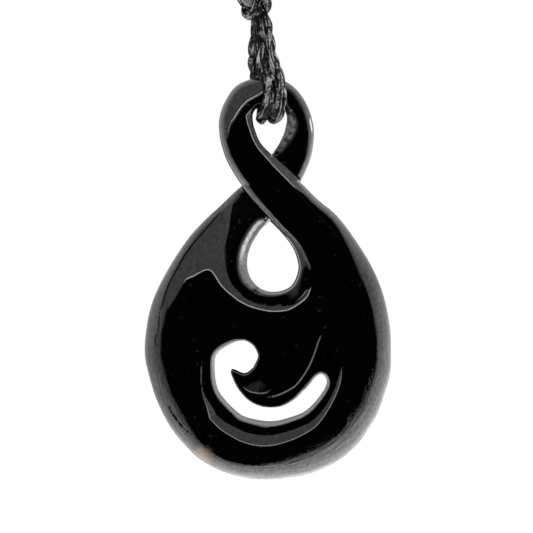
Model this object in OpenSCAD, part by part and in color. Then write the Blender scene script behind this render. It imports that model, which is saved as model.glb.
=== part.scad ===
// Carved twist pendant on a waxed neck cord, millimetres.
// One stone band makes a small upper loop, crosses itself and opens into a broad
// teardrop body that is pierced by a hook-shaped slot. A doubled cord hangs it
// from a knot, and the neck cord goes round from that knot as one whole loop.
// The stone is drawn lying flat (x right, y up, z toward the viewer) and is then
// stood up at the front of the loop. The origin is at the nape, on the inner side
// of the neck cord's highest point.

/* [Stone] */
// Half of the stone's thickness at its flat faces
half_thick = 2.5; // [2:0.1:3]
// Half of the thickness of the small upper loop
loop_half = 2.31; // [2:0.01:2.5]
// Width of the rounded rim of the body
rim_w = 1.96; // [1.6:0.02:2.2]
// Width of the rounded rim of the upper loop
loop_rim_w = 1.08; // [0.8:0.02:1.2]
// How far the bevels of the two crossing strands fall
bevel_fall = 0.48; // [0.3:0.02:0.8]
// Depth of the ledge that runs round the hook slot
ledge_depth = 0.34; // [0.2:0.02:0.5]

/* [Cord] */
// Radius of one yarn of the cord that passes through the upper loop
yarn_r = 0.6; // [0.5:0.02:0.62]
// Radius of the neck cord, two yarns laid together
neck_r = 1.1; // [0.9:0.05:1.2]

/* [Neck loop] */
// Distance from the nape to the knot, along the loop's plane
loop_long = 170; // [165:1:180]
// How steeply the loop's plane falls from the nape to the front
loop_tilt = 40; // [35:1:45]
// Height of the knot's middle above the stone's drawing origin
knot_v = 31.1; // [31:0.1:32]
// Radius of the knot
knot_r = 2.15; // [1.9:0.05:2.2]

/* [Hidden] */

front_y = -loop_long * cos(loop_tilt);
front_z = -loop_long * sin(loop_tilt) - knot_v;
stone_colour = [0.07, 0.075, 0.075];
cord_colour = [0.13, 0.12, 0.125];

// Outlines in the flat drawing: x right, y up
loop_outline = [
    [0.4, 22.7], [2.6, 21.9], [3.9, 20.4], [4.8, 18.5], [5.1, 16.4], [4.9, 14.1],
    [4.4, 12.5], [3.6, 10.9], [2.4, 9.4], [0.5, 8.6], [-1.4, 9.0], [-3.0, 10.4],
    [-3.7, 11.7], [-4.4, 13.6], [-5.2, 15.6], [-5.5, 17.4], [-5.1, 19.2],
    [-4.1, 21.1], [-2.4, 22.3]];
body_outline = [
    [0.3, 12.6], [2.2, 12.0], [3.6, 10.9], [5.5, 9.0], [7.8, 6.9], [9.8, 4.3],
    [11.6, 1.2], [12.9, -2.0], [13.6, -5.4], [13.7, -8.4], [13.4, -11.4],
    [12.2, -15.0], [10.2, -18.2], [7.6, -20.4], [4.4, -21.8], [1.2, -22.3],
    [-2.2, -22.2], [-5.4, -21.3], [-8.3, -19.5], [-10.6, -16.8], [-12.3, -13.7],
    [-13.4, -10.3], [-13.75, -7.6], [-13.4, -4.2], [-12.5, -1.2], [-10.9, 1.6],
    [-8.9, 4.6], [-6.6, 7.2], [-4.6, 9.0], [-3.0, 10.4], [-1.6, 11.9]];
// The two eyes run from their lower or upper point round and back to it
upper_eye = [
    [0.4, 14.0], [-0.5, 15.0], [-1.2, 16.2], [-1.7, 17.5], [-1.7, 18.6],
    [-1.0, 19.3], [0.3, 19.45], [1.6, 19.2], [2.1, 18.3], [1.9, 16.8],
    [1.4, 15.4], [0.4, 14.0]];
lower_eye = [
    [0.2, 6.6], [-0.8, 5.6], [-1.7, 4.3], [-2.25, 2.8], [-2.3, 1.3], [-1.8, -0.1],
    [-0.8, -1.0], [0.6, -1.35], [1.9, -1.1], [2.9, -0.2], [3.4, 1.3], [3.2, 2.6],
    [2.5, 4.1], [1.4, 5.4], [0.2, 6.6]];
// Hook slot: its bulb from the tongue's tip round to the tongue's root, then the
// tongue's under side, the rounded end and the long outer edge
slot_bulb = [
    [-4.0, -10.1], [-2.7, -10.6], [-1.7, -10.1], [-1.1, -9.1], [-1.1, -7.9],
    [-1.7, -7.0], [-2.7, -6.55], [-3.9, -6.6], [-5.0, -7.0], [-5.9, -7.7],
    [-6.4, -8.7], [-6.5, -10.0], [-6.3, -11.6], [-5.8, -12.8], [-4.9, -14.0],
    [-3.6, -15.2], [-1.9, -16.1], [0.0, -16.35], [1.9, -16.1], [3.7, -15.3],
    [5.2, -14.2], [6.3, -12.9], [6.9, -11.6], [6.7, -10.6], [5.8, -10.2],
    [4.9, -10.7], [3.8, -12.1], [2.6, -13.3], [1.3, -13.9], [-0.1, -14.1],
    [-1.4, -13.7], [-2.6, -12.8], [-3.4, -11.6], [-4.0, -10.1]];
slot_ledge = [
    [-7.4, -9.0], [-7.4, -11.3], [-7.0, -13.2], [-6.4, -15.2], [-5.2, -16.6],
    [-3.6, -17.6], [-1.8, -18.3], [0.1, -18.4], [2.0, -18.1], [4.0, -17.0],
    [5.6, -15.7], [6.8, -13.9], [7.8, -12.2], [8.1, -9.8], [6.6, -9.4],
    [4.9, -10.9], [3.0, -13.0], [0.0, -14.0], [-3.0, -12.4], [-4.4, -10.6],
    [-4.6, -8.8], [-5.6, -7.6]];

// Rounded rim: [share of the rim's width in from the edge, share of the height]
rim_profile = [
    [0, 0.12], [0.05, 0.34], [0.2, 0.6], [0.45, 0.81], [0.72, 0.93], [1, 1]];

// The strand that lies in front where the band crosses, and the one behind as it
// is seen from behind: at each station its left and right edge, and how wide the
// bevel is on either side
front_strand = [
    [[-4.9, 17.3], [-1.9, 20.1], 0.5, 0.5],
    [[-5.0, 15.9], [-1.4, 17.8], 0.5, 0.8],
    [[-4.6, 14.5], [-0.9, 15.9], 0.5, 0.8],
    [[-4.0, 13.1], [0.05, 14.6], 0.45, 0.75],
    [[-3.2, 11.7], [1.0, 13.55], 0.45, 0.7],
    [[-2.5, 10.3], [2.1, 12.2], 0.45, 0.7],
    [[-1.5, 8.9], [3.15, 10.75], 0.45, 0.6],
    [[0.0, 6.95], [4.8, 9.05], 0.6, 0.55],
    [[1.2, 5.45], [6.8, 7.3], 0.8, 0.55],
    [[2.2, 4.2], [8.65, 5.2], 1.0, 0.6],
    [[2.95, 2.5], [10.25, 2.75], 1.2, 0.8],
    [[3.1, 0.8], [11.2, 0.35], 1.5, 1.1]];
back_strand = [
    [[-4.6, 17.3], [-2.3, 20.1], 0.5, 0.5],
    [[-4.85, 15.9], [-1.8, 17.8], 0.5, 0.7],
    [[-4.7, 14.5], [-1.3, 15.9], 0.5, 0.7],
    [[-4.25, 13.1], [-0.5, 14.6], 0.45, 0.7],
    [[-3.4, 11.7], [0.7, 13.5], 0.45, 0.65],
    [[-2.6, 10.3], [2.0, 12.2], 0.45, 0.65],
    [[-1.5, 8.9], [2.75, 10.6], 0.45, 0.6],
    [[-0.3, 6.9], [4.0, 8.9], 0.6, 0.6],
    [[0.7, 5.4], [6.0, 7.15], 0.8, 0.55],
    [[1.55, 4.2], [7.8, 5.15], 1.0, 0.6],
    [[2.05, 2.5], [9.6, 2.75], 1.2, 0.8],
    [[2.1, 0.8], [11.0, 0.35], 1.5, 1.1]];

// Carved facets, as a run of stations from one end to the other: each has a point
// on the outer line and one on the inner line, with the stone's height at both
loop_facet = [ // [outer x, y, height], [inner x, y, height]
    [[-6.2, 17.2, 2.4], [-4.2, 17.4, 2.45]],
    [[-5.8, 19.6, 2.0], [-3.3, 18.7, 2.3]],
    [[-4.4, 22.0, 1.7], [-2.1, 20.1, 2.25]],
    [[-1.8, 23.2, 1.55], [-0.8, 19.0, 2.2]],
    [[1.4, 23.2, 1.45], [0.8, 18.6, 1.9]],
    [[4.4, 21.4, 1.3], [1.5, 18.0, 1.5]],
    [[5.8, 18.2, 1.1], [1.6, 17.0, 1.1]],
    [[6.0, 15.2, 0.8], [1.0, 15.8, 0.7]],
    [[5.2, 12.0, 0.45], [0.6, 14.6, 0.35]],
    [[4.0, 9.6, 0.2], [0.6, 12.2, 0.2]]];
lobe_facet = [
    [[-3.4, 12.0, 0.2], [1.3, 10.2, 0.2]],
    [[-6.6, 9.4, 0.55], [1.6, 7.6, 0.2]],
    [[-9.6, 6.2, 1.15], [0.9, 5.2, 0.45]],
    [[-12.2, 2.6, 1.85], [-1.0, 4.4, 0.75]],
    [[-12.2, -0.6, 2.5], [-1.6, 3.2, 0.95]],
    [[-9.0, 0.1, 2.5], [-1.9, 2.2, 1.1]],
    [[-7.8, 0.8, 2.35], [-1.9, 1.4, 1.2]],
    [[-6.6, 1.1, 2.2], [-1.7, 0.6, 1.35]],
    [[-5.7, 0.2, 2.15], [-1.4, 0.0, 1.5]],
    [[-4.8, -1.1, 2.15], [-1.0, -0.5, 1.6]],
    [[-3.2, -2.3, 2.15], [-0.4, -0.9, 1.75]],
    [[-1.2, -3.2, 2.15], [0.3, -1.1, 1.85]],
    [[0.9, -3.5, 2.2], [1.0, -1.1, 1.95]],
    [[2.8, -2.9, 2.25], [1.8, -0.8, 2.05]],
    [[4.0, -1.8, 2.35], [2.5, -0.3, 2.15]],
    [[4.8, -0.4, 2.5], [3.0, 0.8, 2.3]]];
tongue_facet = [
    [[6.4, -4.8, 2.55], [3.9, -6.0, 2.5]],
    [[5.8, -6.3, 2.5], [2.2, -7.2, 2.35]],
    [[5.2, -7.9, 2.45], [0.6, -8.2, 2.2]],
    [[4.6, -9.6, 2.45], [-1.3, -8.6, 2.05]],
    [[3.7, -11.1, 2.4], [-1.6, -9.6, 2.0]],
    [[2.4, -12.5, 2.35], [-2.4, -10.2, 1.95]],
    [[0.6, -13.2, 2.3], [-3.2, -10.4, 1.95]],
    [[-1.4, -13.0, 2.2], [-3.8, -10.2, 1.95]],
    [[-3.2, -12.0, 2.1], [-4.4, -10.0, 1.95]]];

// Routes of the two doubled yarns, from the knot down in front of the loop's bar,
// through the upper eye and up again behind: x, y, height toward the viewer
yarn_routes = [
    [[-0.5, 28.5, 0.6], [-0.3, 27.6, 0.8], [-0.1, 26.6, 1.0], [0.3, 24.9, 1.6],
     [0.9, 23.3, 2.7], [1.3, 21.6, 3.1], [1.4, 20.0, 3.0], [1.3, 18.8, 2.3],
     [1.1, 18.25, 1.2], [0.8, 18.2, 0.0], [0.5, 18.25, -1.2], [0.3, 18.9, -2.5],
     [0.2, 20.2, -3.15], [0.2, 22.0, -3.15], [0.1, 23.6, -2.4], [0.0, 25.2, -1.3],
     [-0.2, 26.8, -0.9], [-0.5, 28.5, -0.6]],
    [[-1.1, 28.4, 0.5], [-1.0, 27.4, 0.4], [-0.8, 26.4, 0.5], [-0.7, 24.8, 1.5],
     [-0.4, 23.3, 2.7], [-0.1, 21.6, 3.1], [-0.1, 20.0, 3.0], [-0.4, 18.8, 2.3],
     [-0.7, 18.25, 1.2], [-0.8, 18.2, 0.0], [-0.8, 18.25, -1.2], [-0.9, 18.9, -2.5],
     [-1.2, 20.2, -3.15], [-1.5, 22.0, -3.15], [-1.7, 23.6, -2.2], [-1.7, 25.2, -0.9],
     [-1.5, 26.8, -0.4], [-1.3, 28.4, -0.5]]];

// Half of the neck cord's route in the loop's plane, from the nape to the knot:
// across, and down the slope
neck_half = [
    [0, -1.1], [11, 0], [22, 3], [32, 8], [41, 14.5], [49, 23], [55, 33],
    [59.5, 44], [61.5, 56], [61, 68], [58, 80], [52.5, 92], [45, 104],
    [37, 116], [29, 128], [21, 140], [13, 152], [6, 162.5]];
neck_ends = [[-2.9, 168.0], [-0.3, 168.0]];

// Splines, through every point of a list
function cr(a, b, c, d, t) =
    0.5 * (2 * b + (c - a) * t + (2 * a - 5 * b + 4 * c - d) * t * t
           + (3 * b - a - 3 * c + d) * t * t * t);
function closed(p, n) = [for (i = [0:len(p) - 1], k = [0:n - 1])
    cr(p[(i + len(p) - 1) % len(p)], p[i], p[(i + 1) % len(p)],
       p[(i + 2) % len(p)], k / n)];
function open(p, n) = concat([for (i = [0:len(p) - 2], k = [0:n - 1])
    cr(i > 0 ? p[i - 1] : 2 * p[0] - p[1], p[i], p[i + 1],
       i < len(p) - 2 ? p[i + 2] : 2 * p[i + 1] - p[i], k / n)], [p[len(p) - 1]]);
// An open run that comes back to its first point keeps that point as a corner
function cornered(p, n) = let (q = open(p, n)) [for (i = [0:len(q) - 2]) q[i]];

// Unit vectors: along a path, and square to a closed outline
function unit(v) = v / norm(v);
function along(p, i, loop) = let (n = len(p)) unit(loop
    ? p[(i + 1) % n] - p[(i + n - 1) % n]
    : p[min(i + 1, n - 1)] - p[max(i - 1, 0)]);
function inset(p, d) = [for (i = [0:len(p) - 1])
    let (t = along(p, i, true)) p[i] + d * [t[1], -t[0]]];

// A skin over rings of equal length, the first and last closed by a fan
function middle(r) = let (n = len(r)) [for (k = [0:2]) [for (p = r) p[k]] * [for (p = r) 1 / n]];
module skin(rings, flip = false) {
    n = len(rings[0]);
    m = len(rings);
    faces = concat(
        [for (j = [0:m - 2], i = [0:n - 1])
            [j * n + i, (j + 1) * n + i, (j + 1) * n + (i + 1) % n]],
        [for (j = [0:m - 2], i = [0:n - 1])
            [j * n + i, (j + 1) * n + (i + 1) % n, j * n + (i + 1) % n]],
        [for (i = [0:n - 1]) [i, (i + 1) % n, m * n]],
        [for (i = [0:n - 1]) [(m - 1) * n + (i + 1) % n, (m - 1) * n + i, m * n + 1]]);
    polyhedron(concat([for (r = rings) each r], [middle(rings[0]), middle(rings[m - 1])]),
        [for (f = faces) flip ? [f[2], f[1], f[0]] : f]);
}

// A plate with a rounded rim on both faces; its outline runs clockwise
module plate(outline, half, width) {
    k = len(rim_profile) - 1;
    skin([for (j = [k + 1:-1:-k - 1]) if (j != 0)
        let (row = rim_profile[abs(j) - 1])
        [for (p = inset(outline, row[0] * width)) [p[0], p[1], sign(j) * row[1] * half]]]);
}

// Takes away what stands above a facet, given as its stations
module above(stations, side, flip = false) {
    s = open([for (r = stations) [r[0][0], r[0][1], r[0][2], r[1][0], r[1][1], r[1][2]]], 3);
    q = [for (r = s) side > 0
        ? [[r[0], r[1], r[2]], [r[3], r[4], r[5]], [r[3], r[4], 4], [r[0], r[1], 4]]
        : [[-r[0], r[1], -r[2]], [-r[3], r[4], -r[5]], [-r[3], r[4], -4], [-r[0], r[1], -4]]];
    skin(q, flip);
}

// One strand of the crossing, as bevelled blocks from station to station
function section(s, side) =
    let (l = s[0], r = s[1], t = unit(r - l), low = half_thick - bevel_fall)
    [for (p = [[l, -0.05], [l, low], [l + s[2] * t, half_thick],
               [r - s[3] * t, half_thick], [r, low], [r, -0.05]])
        [side * p[0][0], p[0][1], side * p[1]]];
module strand_run(strand, side) {
    for (i = [0:len(strand) - 2])
        hull() skin([section(strand[i], side), section(strand[i + 1], side)]);
}

module eyes() {
    linear_extrude(12, center = true) polygon(cornered(upper_eye, 3));
    linear_extrude(12, center = true) polygon(cornered(lower_eye, 3));
    linear_extrude(12, center = true) polygon(cornered(slot_bulb, 2));
    // the bar's edges are rounded off where the cord passes
    for (side = [-1, 1])
        hull() {
            translate([0.2, 18.2, side * 1.0]) scale([1.7, 1.1, 1]) sphere(r = 1.1, $fn = 24);
            translate([0.2, 18.2, side * 3.0]) scale([2.2, 2.4, 1]) sphere(r = 1.1, $fn = 24);
        }
}

module ledge() {
    for (side = [-1, 1])
        translate([0, 0, side * (half_thick - ledge_depth + 2)])
            linear_extrude(4, center = true) polygon(closed(slot_ledge, 2));
}

module stone_flat() {
    difference() {
        union() {
            difference() {
                union() {
                    plate(closed(body_outline, 3), half_thick, rim_w);
                    plate(closed(loop_outline, 3), loop_half, loop_rim_w);
                }
                for (side = [-1, 1]) {
                    above(lobe_facet, side);
                    above(loop_facet, side, true);
                }
            }
            strand_run(front_strand, 1);
            strand_run(back_strand, -1);
        }
        for (back = [0, 1]) mirror([0, 0, back]) above(tongue_facet, 1, true);
        ledge();
        eyes();
    }
}

// A cord as a tube swept along a route, its section kept square to the route
function tube_rings(path, r, sides) = [for (i = [0:len(path) - 1])
    let (t = along(path, i, false),
         a = unit(cross(t, abs(t[1]) < 0.8 ? [0, 1, 0] : [1, 0, 0])),
         b = cross(t, a))
    [for (k = [0:sides - 1]) path[i] + r * (cos(360 * k / sides) * a + sin(360 * k / sides) * b)]];

module place() {
    translate([0, front_y, front_z]) rotate([90, 0, 0]) children();
}

module pendant() {
    color(stone_colour) place() stone_flat();
}

module bail_cord() {
    color(cord_colour) place()
        for (route = yarn_routes, i = [0:len(route) - 2])
            hull()
                for (p = [route[i], route[i + 1]])
                    translate(p) sphere(r = yarn_r, $fn = 12);
}

module knot() {
    color(cord_colour) place() translate([-1.55, knot_v, 0]) sphere(r = knot_r);
}

neck_path = let (
    half = neck_half,
    flat = concat(
        [neck_ends[1]], [for (i = [len(half) - 1:-1:0]) half[i]],
        [for (i = [1:len(half) - 1]) [-half[i][0], half[i][1]]], [neck_ends[0]]))
    [for (p = flat) [p[0], -p[1] * cos(loop_tilt), -p[1] * sin(loop_tilt)]];

module neck_cord() {
    color(cord_colour) skin(tube_rings(open(neck_path, 2), neck_r, 8));
}

pendant();
bail_cord();
knot();
neck_cord();
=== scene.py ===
import math

import bpy
import numpy as np
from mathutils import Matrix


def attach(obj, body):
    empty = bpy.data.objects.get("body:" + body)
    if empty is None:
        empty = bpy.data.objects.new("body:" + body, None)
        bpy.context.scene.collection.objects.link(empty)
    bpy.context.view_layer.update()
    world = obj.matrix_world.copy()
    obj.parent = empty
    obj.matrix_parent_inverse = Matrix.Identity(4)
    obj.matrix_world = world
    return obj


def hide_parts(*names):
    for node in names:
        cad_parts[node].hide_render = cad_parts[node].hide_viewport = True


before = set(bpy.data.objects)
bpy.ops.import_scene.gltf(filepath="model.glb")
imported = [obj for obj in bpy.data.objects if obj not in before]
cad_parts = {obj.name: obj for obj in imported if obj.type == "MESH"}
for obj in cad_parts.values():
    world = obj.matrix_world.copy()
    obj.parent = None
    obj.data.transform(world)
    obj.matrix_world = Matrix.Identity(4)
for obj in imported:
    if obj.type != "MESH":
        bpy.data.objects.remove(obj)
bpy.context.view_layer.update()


# The camera. It looks level at the stone from in front of it, square to its
# face, from about 0.3 m away.
camera_data = bpy.data.cameras.new("camera")
camera = bpy.data.objects.new("camera", camera_data)
bpy.context.scene.collection.objects.link(camera)
camera.location = (-0.00017, -0.430, -0.13887)
camera.rotation_euler = (math.radians(90), 0, 0)
camera_data.sensor_width = 36
camera_data.lens = 181
camera_data.clip_start = 0.01
bpy.context.scene.camera = camera


# The pendant. One piece of black jade, sawn as a 5 mm slab, pierced three times,
# carved with a burr so that its band seems to cross itself, and polished until the
# flat faces shine. Its flat drawing is in millimetres: u right, v up, w forward.
STAND = (0.0, -130.2276, -140.3741)    # where the drawing's origin stands in the frame
SLAB_HALF = 2.5
CUTTING_BOX = ((-14.2, 14.3), (-22.8, 23.2), (-2.8, 2.85))
GRAIN_STEP = 0.1                        # pitch of the grid that the stone is cut on
STONE_TRIANGLES = 190000
LONG_FACET = 0.4
# Most points of its lines were read from the photograph and stand as they were read,
# in its pixels across and down. The others are given in millimetres.
PIXEL_SIZE, PIXEL_MIDDLE = 0.1117, (268, 280)


def seen_at(*spots):
    """Places read from the photograph, as right and up in the drawing, to 0.01 mm."""
    return [(round((x - PIXEL_MIDDLE[0]) * PIXEL_SIZE, 2), round((PIXEL_MIDDLE[1] - y) * PIXEL_SIZE, 2))
            for x, y in spots]


LOOP_OUTLINE = [
    (0.45, 22.67), (1.5, 22.42),
    *seen_at((290, 84), (298, 91), (305, 101), (310, 112), (313, 124), (314, 133)), (5.05, 15.08),
    *seen_at((311, 157), (307, 168), (300, 182)), (2.4, 9.4), (0.5, 8.6), (-1.4, 9.0),
    (-2.78, 10.45), (-3.7, 11.73), (-4.63, 13.4), (-5.03, 14.52), (-5.33, 15.64), (-5.47, 16.76),
    *seen_at((219, 120), (222, 108), (228, 96), (235, 87), (245, 81), (258, 77.5))]
BODY_OUTLINE = [
    (0.3, 12.6), (2.2, 12.0),
    *seen_at((300, 182), (317, 199), (337, 216), (356, 241), (373, 269), (384, 297), (390, 328),
             (391, 355), (390, 374), (384, 395), (377, 414), (367, 431), (355, 447), (339, 460),
             (322, 469), (305, 475), (286, 478), (266, 479.5), (247, 478), (230, 474), (213, 467),
             (197, 457), (183, 443)), (-10.84, -16.53),
    *seen_at((161, 410), (154, 393), (149, 376), (145, 358), (145, 340), (148, 318), (153, 300),
             (160, 284), (170, 266), (180, 250), (190, 236), (200, 225), (210, 215), (220, 206)),
    (-4.24, 9.35), (-3.45, 10.1), (-2.7, 10.75), (-1.6, 11.9)]
UPPER_EYE = [
    *seen_at((271.5, 154.5), (264, 147), (259, 140)), (-1.45, 16.76),
    *seen_at((253, 122), (253, 113.5), (257, 108), (264, 105)), (0.45, 19.7),
    *seen_at((280, 105.5), (285, 111), (287, 118), (286, 125), (284, 133), (281, 140), (277, 147),
             (271.5, 154.5))]
LOWER_EYE = [
    *seen_at((270, 221), (262, 228), (255, 238), (250, 248)), (-2.3, 2.46), (-2.3, 1.34),
    *seen_at((250, 277), (255, 284), (262, 289.5), (272, 292), (283, 290.5), (291, 286), (296, 278),
             (298.5, 268), (297, 258), (293, 248), (286, 238), (278, 229), (270, 221))]
HOOK_SLOT = seen_at(
    (233.6, 338.7), (240, 338.5), (246, 339.4), (253.5, 344), (258, 351), (259.2, 357), (256, 365),
    (252.7, 370), (244, 375), (232.4, 370.6), (234.5, 379), (240, 389), (249, 399), (260, 404.5),
    (270, 406), (281, 404.6), (292.5, 398), (301, 389), (308, 381), (313, 374.6), (319.4, 371),
    (326, 373), (330, 380), (329, 387.6), (324, 396), (315, 407.5), (305, 416), (292.5, 421.4),
    (279, 425.4), (266.5, 426), (253, 424), (240.5, 420), (230, 412), (221.5, 403), (214.5, 393),
    (211, 381), (210, 368.5), (211, 356), (216, 348), (225, 342))
# The strand in front: its upper edge, its lower edge, and the crisp line that ends it.
# Each is closed far from the stone, on the side where the strand lies.
UPPER_EDGE = [
    *seen_at((266, 102), (257, 108), (253, 114), (253, 122), (255, 130), (259, 140), (264, 147),
             (271.5, 154.5), (280, 163), (290, 172), (300, 181), (309, 187)),
    (6.6, 9.9), (9.5, 9.0), (14.0, 6.0)]
UPPER_CLOSE = [(25, -5), (25, -30), (-25, -30), (-25, 30), (-0.22, 30)]
LOWER_EDGE = [
    *seen_at((216, 112), (218.5, 125)), (-5.33, 15.64), (-5.03, 14.52), (-4.63, 13.40),
    (-4.04, 12.18), (-2.78, 10.45), (-1.95, 9.4),
    *seen_at((260, 206.5), (270, 217), (280, 227.5), (290, 237), (297, 245), (302, 253), (306, 261),
             (310, 269.5), (316, 280))]
LOWER_CLOSE = [(9, -8), (9, -30), (30, -30), (30, 30), (-5.9, 30)]
END_LINE = [
    *seen_at((264, 91), (259, 95), (253, 98.5), (247, 102), (242, 107), (238, 112.5), (234, 119),
             (231, 123)), (-4.38, 17.05), (-4.55, 16.4), (-4.85, 15.7), (-6.0, 14.9)]
END_CLOSE = [(-20, 10), (-20, -30), (30, -30), (30, 24)]
# Where the face is taken down: the loop round the strand's end, and the sunken shoulder
# that begins at a wave-shaped crisp line and slides under the strand
LOOP_TOP = [
    (-8.0, 24.6), (8.0, 24.6), (8.0, 10.5), (4.0, 10.4), (1.0, 12.0), (-1.5, 14.5), (-3.0, 17.0),
    (-8.0, 15.5)]
WAVE = [
    (-11.73, -7.3), (-11.6, -5.6), (-11.3, -4.0), (-10.75, -2.75), (-10.08, -1.7), (-9.52, -0.6),
    *seen_at((187, 279), (194, 276), (200, 272.5), (205, 270), (208.5, 269.6), (211.5, 271),
             (215, 275), (220, 283), (225, 289), (232, 295), (240, 301), (250, 306), (260, 309),
             (272, 311), (282, 310.5), (288, 309.5), (295, 306), (302, 301), (307, 296), (310, 289))]
SHOULDER_CLOSE = [(5.1, 0.2), (5.2, 2.0), (2.0, 7.0), (-1.5, 11.5), (-4.0, 13.5), (-16, 9), (-16, -7.3)]
BED = seen_at(
    (243, 180), (236, 196), (232, 207), (230, 218), (229, 228), (226, 240), (225, 250), (226, 262),
    (228, 272), (233, 284), (240, 293), (250, 300), (262, 304.5), (270, 305.5), (283, 305.5),
    (293, 303), (300, 297), (305, 291), (311, 286))
BED_CLOSE = [(12, 0), (12, 16), (-2, 16)]
# The ledge round the slot, the crease on the tongue and the facet at the tongue's tip
LEDGE = [
    (8.45, -7.9),
    *seen_at((342, 362), (340, 380), (337, 390), (332, 401), (327, 410), (320, 420), (313, 427),
             (300, 435), (285, 441), (270, 444.5), (255, 444), (240, 439.5), (230, 434),
             (220, 427.5), (210, 417))]
LEDGE_LEFT = seen_at((210, 417), (207, 405), (203, 394), (201, 381), (201, 370), (202, 360))
LEDGE_CLOSE = [
    (-6.0, -8.4), (-5.0, -9.5), (-5.2, -11.0), (-4.4, -13.0), (-2.8, -14.6), (-0.3, -15.2),
    (1.9, -14.9), (3.9, -13.9), (5.4, -12.2), (5.7, -11.0), (5.4, -10.4), (5.6, -8.2)]
LEDGE_BY_DIRECTION = [
    (-180, 0.17), (-163, 0.19), (-152, 0.4), (-140, 0.76), (-120, 1.05), (-90, 1.17), (-60, 0.95),
    (-45, 0.7), (-30, 0.48), (-14, 0.4), (-6, 0.33), (1, 0.17), (8, 0.0), (20, 0.0), (90, 0.0),
    (160, 0.0), (172, 0.15), (180, 0.2)]
TONGUE = [
    *seen_at((326, 322), (322, 332), (318, 341), (314, 353), (309, 365), (303, 375), (295, 385),
             (285, 391), (275, 395), (262, 397)), (-1.8, -12.95), (-2.9, -12.5)]
TONGUE_CLOSE = [(-3.5, -15.5), (4.4, -15.0), (9.5, -12), (10.5, -8), (10.0, -3.5)]
TIP = [
    *seen_at((241, 384), (245, 388)), (-2.01, -12.38), (-1.34, -12.53), (-0.67, -12.58),
    (0.0, -12.43), (0.45, -12.0)]
TIP_TOP = [
    (0.45, -12.0), (0.22, -11.5), *seen_at((266, 378.5), (261, 376)), (-1.56, -10.85),
    (-2.35, -11.2), *seen_at((241, 384))]
# The middles that directions are taken from, and about how far the body's is from its rim
BODY_MIDDLE, BODY_REACH = (0.0, -7.0), 14
EYE_MIDDLE, LOOP_MIDDLE, HOOK_MIDDLE = (0.45, 2.0), (0.22, 17.0), (-0.34, -10.28)
# How wide the rounded rim of the body is, by direction in degrees
RIM_BY_DIRECTION = [
    (-180, 2.5), (-166, 2.45), (-154, 2.35), (-144, 2.5), (-134, 2.35), (-123, 1.9),
    (-112, 1.75), (-104, 1.85),
    (-93, 2.3), (-82, 2.6), (-71, 3.0), (-60, 3.2), (-50, 3.1), (-43, 2.9), (-33, 2.6),
    (-20, 2.4), (0, 2.2), (22, 2.3), (39, 2.1), (53, 1.4), (63, 1.0), (90, 0.9), (115, 0.9),
    (130, 0.95), (146, 1.1), (158, 1.5), (168, 2.2), (180, 2.5)]
LOOP_RIM = 0.85
# Two dark grooves left in the rounded rim's left side
RIM_GROOVE = [
    (-5.3, 7.6), (-6.98, 5.6), (-8.2, 4.2),
    *seen_at((185, 255), (178, 268), (170, 282), (165.5, 295), (163.5, 303), (160, 312),
             (159.5, 325), (158, 332), (155.5, 340), (157.5, 350))]
LOW_GROOVE = seen_at((169, 405), (172, 412), (178, 420), (185, 428), (192, 434))
# How far each eye's edge is ground back, by direction, and the hook slot's at its ends
EYE_BY_DIRECTION = [
    (-180, 1.35), (-150, 1.3), (-135, 1.1), (-110, 0.7), (-90, 0.5), (-60, 0.4), (0, 0.32),
    (60, 0.3), (88, 0.4), (105, 1.1), (118, 1.35), (180, 1.35)]
LOOP_EYE_BY_DIRECTION = [
    (-180, 0.2), (-110, 0.2), (-85, 0.5), (-62, 0.9), (-45, 1.05), (-20, 1.3), (0, 1.4),
    (25, 1.0), (45, 0.5), (70, 0.3), (180, 0.2)]
HOOK_GROUND, HOOK_LEAN = 0.14, 0.36
# Sizes that change up the drawing: the strand's broad and narrow bevels, how steep the broad
# one is, the height of the bed beside the lower eye, and where the back's carving lies when
# the stone is turned over. The step under the wave line changes from left to right.
BROAD_BEVEL = [
    (9, 1.0), (10.6, 0.95), (13.2, 0.76), (15, 0.62), (16.8, 0.58), (18.3, 0.7), (19.3, 0.1),
    (30, 0.1)]
NARROW_BEVEL = [
    (1.2, 0.0), (2.2, 0.12), (5, 0.3), (8, 0.42), (10, 0.52), (13, 0.6), (17, 0.55), (18.5, 0.3)]
BROAD_STEEP = [(12, 0.62), (14, 0.55), (16.5, 0.3), (19, 0.24)]
BED_HEIGHT = [
    (-2.85, 2.24), (-2.23, 2.18), (-1.45, 2.11), (-0.45, 2.07), (0.89, 1.98), (2.01, 1.87),
    (3.35, 1.71), (4.47, 1.57), (6.93, 1.27), (8.15, 1.12), (9.4, 0.97)]
TURNED_OVER = [(-6, 0.0), (0, 1.1), (5, 1.1), (10.6, 0.6), (15, -0.4)]
WAVE_STEP = [(-10, 0.0), (-9, 0.03), (-6.7, 0.28), (-3, 0.2), (0, 0.11), (3, 0.09), (4.6, 0.0)]
# How softly the carved faces meet in their creases, and the strand's bevel with its top
CREASE, SHOULDER_CREASE, STRAND_CREASE = 0.06, 0.09, 0.07


def spline(points, steps=4, closed=False):
    """A smooth line through every point; an open one keeps its ends."""
    p = np.array(points, float)
    if closed:
        a, b, c, d = np.roll(p, 1, 0), p, np.roll(p, -1, 0), np.roll(p, -2, 0)
    else:
        q = np.vstack([2 * p[0] - p[1], p, 2 * p[-1] - p[-2]])
        a, b, c, d = q[:-3], q[1:-2], q[2:-1], q[3:]
    a, b, c, d = (x[:, None] for x in (a, b, c, d))
    t = (np.arange(steps) / steps)[None, :, None]
    run = 0.5 * (2 * b + (c - a) * t + (2 * a - 5 * b + 4 * c - d) * t * t
                 + (3 * b - a - 3 * c + d) * t ** 3)
    run = run.reshape(-1, p.shape[1])
    return run if closed else np.vstack([run, p[-1]])


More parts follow.
